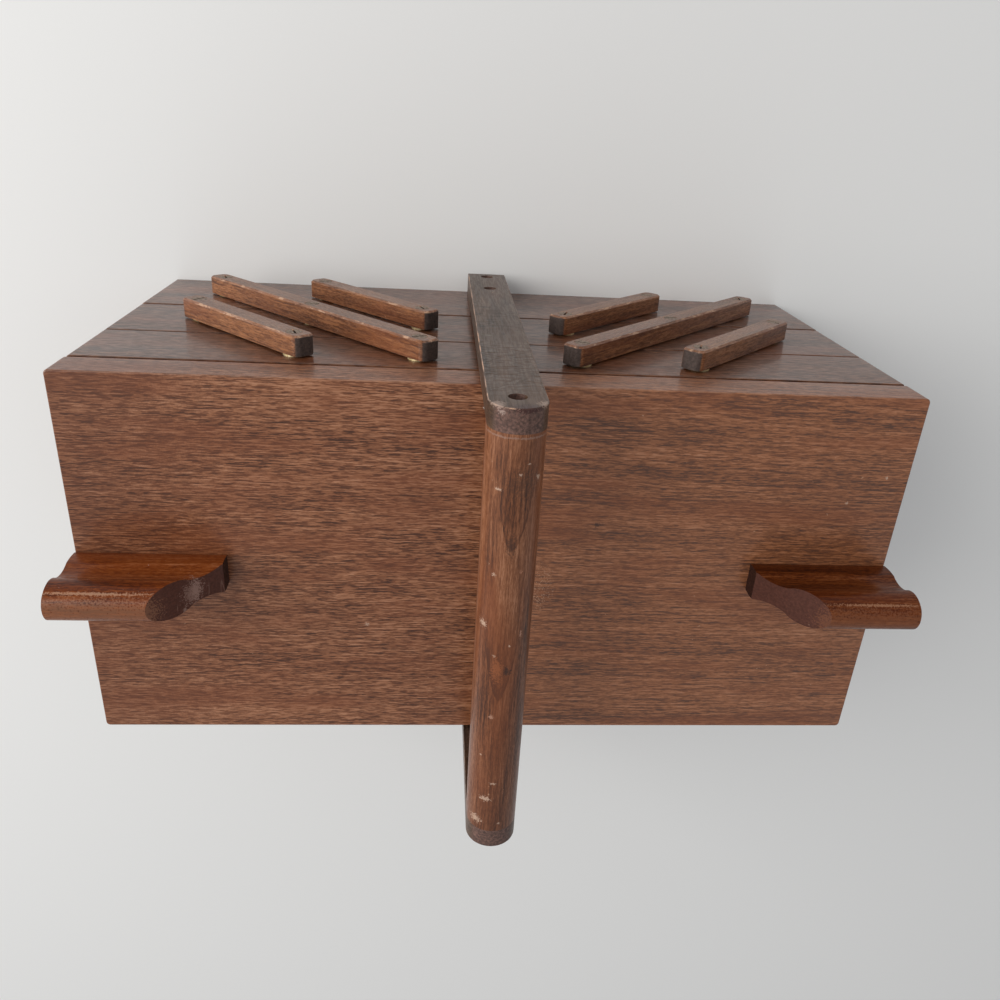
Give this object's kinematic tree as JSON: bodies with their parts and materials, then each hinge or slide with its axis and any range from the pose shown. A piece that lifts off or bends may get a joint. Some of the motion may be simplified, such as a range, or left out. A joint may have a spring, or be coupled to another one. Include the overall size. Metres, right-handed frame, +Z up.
{
  "type": "sewing box",
  "caption": "Wooden cantilever sewing carrier: shallow base, trays that swing apart on flat arms, solid hinged lids with moulded pulls, and a fixed bar handle on flat posts.",
  "frame": {"origin": "middle of the underside of the base", "axes": "+X to the right of the front face, +Y to the back, +Z up"},
  "size_m": [0.4336, 0.234, 0.288],
  "materials": {
    "case_wood": "lacquered dark walnut, straight grain along the case",
    "lid_wood": "satin lacquered walnut with fine dark pores",
    "post_wood": "dark walnut, worn pale on the arrises",
    "grip_wood": "walnut worn satin by the hand",
    "arm_wood": "dark walnut, worn pale on the arrises",
    "pull_wood": "glossy reddish lacquer, end grain bare and dark",
    "plywood": "thin plywood, unlacquered",
    "brass": "dull brass",
    "screw_steel": "darkened steel",
    "felt": "brown felt"
  },
  "bodies": {
    "base": {"base_back": "case_wood", "base_bottom": "plywood", "base_end_left": "case_wood", "base_end_right": "case_wood", "base_front": "case_wood", "base_screws": "screw_steel", "base_washers": "brass", "handle_grip": "grip_wood", "handle_post_back": "post_wood", "handle_post_front": "post_wood"},
    "long_arms_right": {"long_arm_back_right": "arm_wood", "long_arm_front_right": "arm_wood"},
    "lower_short_arms_right": {"lower_short_arm_back_right": "arm_wood", "lower_short_arm_front_right": "arm_wood"},
    "lower_tray_right": {"lower_tray_back_right": "case_wood", "lower_tray_bottom_right": "plywood", "lower_tray_front_right": "case_wood", "lower_tray_inner_end_right": "case_wood", "lower_tray_outer_end_right": "case_wood", "lower_tray_screws_right": "screw_steel", "lower_tray_washers_right": "brass"},
    "upper_short_arms_right": {"upper_short_arm_back_right": "arm_wood", "upper_short_arm_front_right": "arm_wood"},
    "upper_tray_right": {"hinge_tray_leaves_right": "brass", "lid_pads_right": "felt", "upper_tray_back_right": "case_wood", "upper_tray_bottom_right": "plywood", "upper_tray_front_right": "case_wood", "upper_tray_inner_end_right": "case_wood", "upper_tray_outer_end_right": "case_wood", "upper_tray_screws_right": "screw_steel", "upper_tray_washers_right": "brass"},
    "lid_right": {"hinge_lid_leaves_right": "brass", "lid_board_right": "lid_wood", "lid_pull_right": "pull_wood"},
    "long_arms_left": {"long_arm_back_left": "arm_wood", "long_arm_front_left": "arm_wood"},
    "lower_short_arms_left": {"lower_short_arm_back_left": "arm_wood", "lower_short_arm_front_left": "arm_wood"},
    "lower_tray_left": {"lower_tray_back_left": "case_wood", "lower_tray_bottom_left": "plywood", "lower_tray_front_left": "case_wood", "lower_tray_inner_end_left": "case_wood", "lower_tray_outer_end_left": "case_wood", "lower_tray_screws_left": "screw_steel", "lower_tray_washers_left": "brass"},
    "upper_short_arms_left": {"upper_short_arm_back_left": "arm_wood", "upper_short_arm_front_left": "arm_wood"},
    "upper_tray_left": {"hinge_tray_leaves_left": "brass", "lid_pads_left": "felt", "upper_tray_back_left": "case_wood", "upper_tray_bottom_left": "plywood", "upper_tray_front_left": "case_wood", "upper_tray_inner_end_left": "case_wood", "upper_tray_outer_end_left": "case_wood", "upper_tray_screws_left": "screw_steel", "upper_tray_washers_left": "brass"},
    "lid_left": {"hinge_lid_leaves_left": "brass", "lid_board_left": "lid_wood", "lid_pull_left": "pull_wood"}
  },
  "joints": [
    {"name": "arms_right_swing", "type": "hinge", "parent": "base", "child": "long_arms_right", "pos_m": [0.168, 0, 0.042], "axis": [0, 1, 0], "range_deg": [0, 88]},
    {"name": "lower_short_arms_right_swing", "type": "hinge", "parent": "base", "child": "lower_short_arms_right", "pos_m": [0.105, 0, 0.042], "axis": [0, 1, 0], "range_deg": [0, 88]},
    {"name": "lower_tray_right_level", "type": "hinge", "parent": "long_arms_right", "child": "lower_tray_right", "pos_m": [0.105, 0, 0.107], "axis": [0, 1, 0], "range_deg": [-88, 0]},
    {"name": "upper_tray_right_level", "type": "hinge", "parent": "long_arms_right", "child": "upper_tray_right", "pos_m": [0.042, 0, 0.172], "axis": [0, 1, 0], "range_deg": [-88, 0]},
    {"name": "upper_short_arms_right_swing", "type": "hinge", "parent": "lower_tray_right", "child": "upper_short_arms_right", "pos_m": [0.168, 0, 0.107], "axis": [0, 1, 0], "range_deg": [0, 88]},
    {"name": "lid_right_lift", "type": "hinge", "parent": "upper_tray_right", "child": "lid_right", "pos_m": [0.2148, 0, 0.18975], "axis": [0, 1, 0], "range_deg": [0, 180]},
    {"name": "arms_left_swing", "type": "hinge", "parent": "base", "child": "long_arms_left", "pos_m": [-0.168, 0, 0.042], "axis": [0, -1, 0], "range_deg": [0, 88]},
    {"name": "lower_short_arms_left_swing", "type": "hinge", "parent": "base", "child": "lower_short_arms_left", "pos_m": [-0.105, 0, 0.042], "axis": [0, -1, 0], "range_deg": [0, 88]},
    {"name": "lower_tray_left_level", "type": "hinge", "parent": "long_arms_left", "child": "lower_tray_left", "pos_m": [-0.105, 0, 0.107], "axis": [0, -1, 0], "range_deg": [-88, 0]},
    {"name": "upper_tray_left_level", "type": "hinge", "parent": "long_arms_left", "child": "upper_tray_left", "pos_m": [-0.042, 0, 0.172], "axis": [0, -1, 0], "range_deg": [-88, 0]},
    {"name": "upper_short_arms_left_swing", "type": "hinge", "parent": "lower_tray_left", "child": "upper_short_arms_left", "pos_m": [-0.168, 0, 0.107], "axis": [0, -1, 0], "range_deg": [0, 88]},
    {"name": "lid_left_lift", "type": "hinge", "parent": "upper_tray_left", "child": "lid_left", "pos_m": [-0.2148, 0, 0.18975], "axis": [0, -1, 0], "range_deg": [0, 180]}
  ],
  "couplings": [
    {"joint": "lower_short_arms_right_swing", "follows": "arms_right_swing", "ratio": 1},
    {"joint": "lower_tray_right_level", "follows": "arms_right_swing", "ratio": -1},
    {"joint": "upper_tray_right_level", "follows": "arms_right_swing", "ratio": -1},
    {"joint": "upper_short_arms_right_swing", "follows": "arms_right_swing", "ratio": 1},
    {"joint": "lower_short_arms_left_swing", "follows": "arms_left_swing", "ratio": 1},
    {"joint": "lower_tray_left_level", "follows": "arms_left_swing", "ratio": -1},
    {"joint": "upper_tray_left_level", "follows": "arms_left_swing", "ratio": -1},
    {"joint": "upper_short_arms_left_swing", "follows": "arms_left_swing", "ratio": 1}
  ]
}
